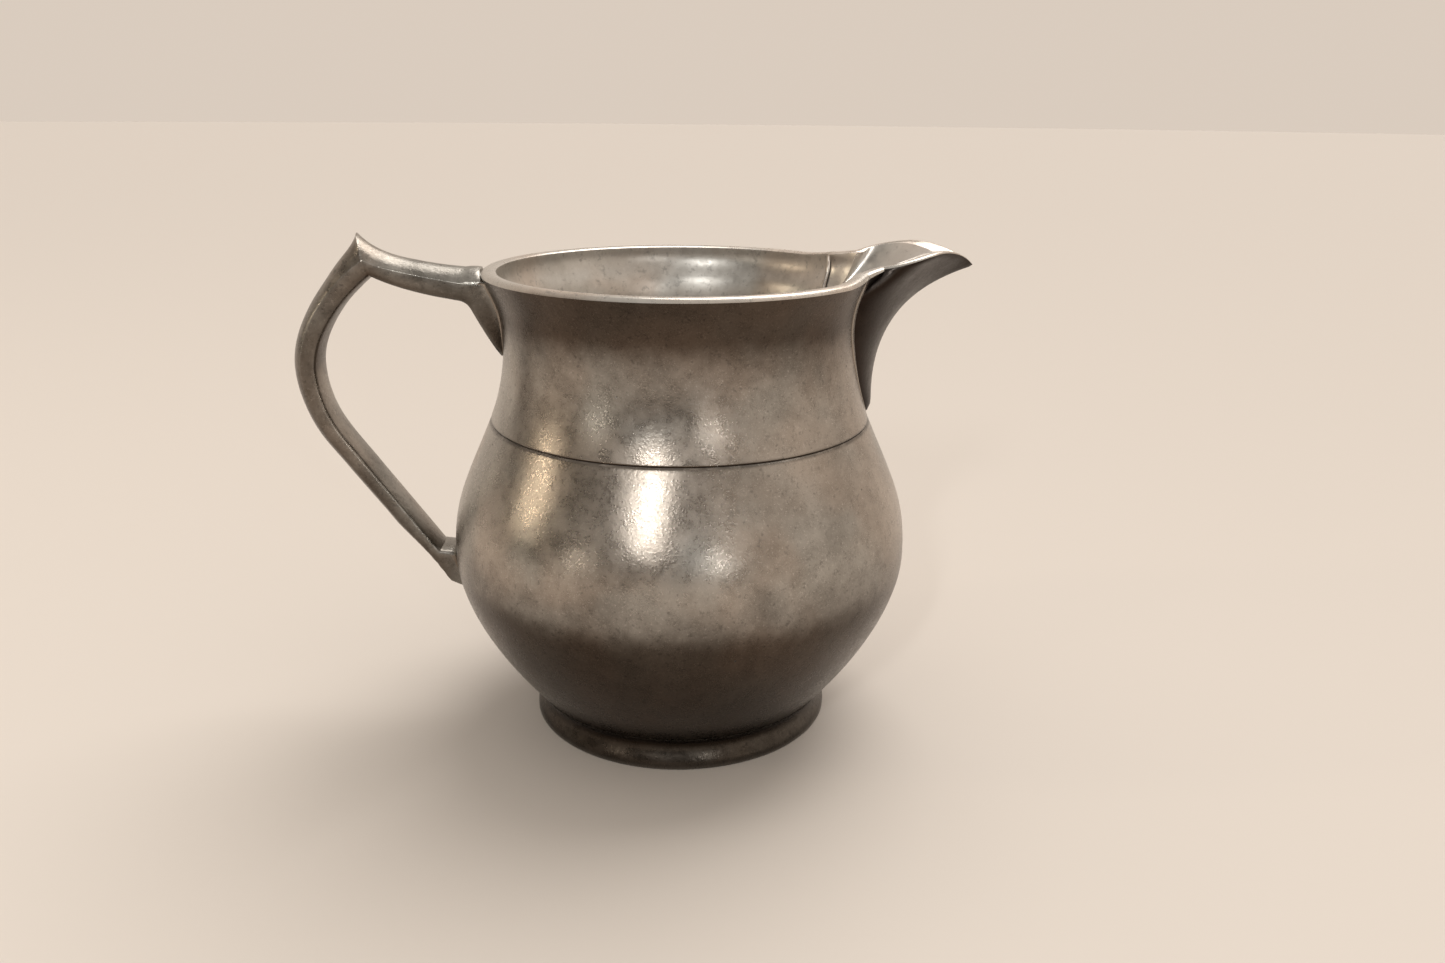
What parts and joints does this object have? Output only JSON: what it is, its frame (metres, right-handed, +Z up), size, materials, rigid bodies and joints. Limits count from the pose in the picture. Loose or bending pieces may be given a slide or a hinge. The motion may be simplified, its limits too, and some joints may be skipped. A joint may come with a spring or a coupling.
{
  "type": "pewter pitcher",
  "caption": "Cast pewter pitcher: round belly on a foot ring, waisted neck with a rolled rim, pointed beak spout and D-shaped strap handle with a peaked thumb rest.",
  "frame": {"origin": "in the plane of the foot ring's underside, midway between the spout's tip and the handle's back, in the jug's middle plane; the body's own axis is at x = 14.7 mm", "axes": "+Z up along the body's axis, +X toward the tip of the spout, so the handle is on -X and the object is the same on +Y and -Y"},
  "size_m": [0.2288, 0.158, 0.1712],
  "materials": {
    "cast_pewter": "satin",
    "sheet_pewter": "satin",
    "solder": "matte"
  },
  "bodies": {
    "root": {"belly_shell": "cast_pewter", "neck_shell": "cast_pewter", "foot_ring": "cast_pewter", "base_disc": "sheet_pewter", "spout": "cast_pewter", "handle": "cast_pewter", "shoulder_solder": "solder", "foot_solder": "solder", "base_solder": "solder", "spout_solder": "solder", "handle_upper_solder": "solder", "handle_lower_solder": "solder"}
  },
  "joints": []
}
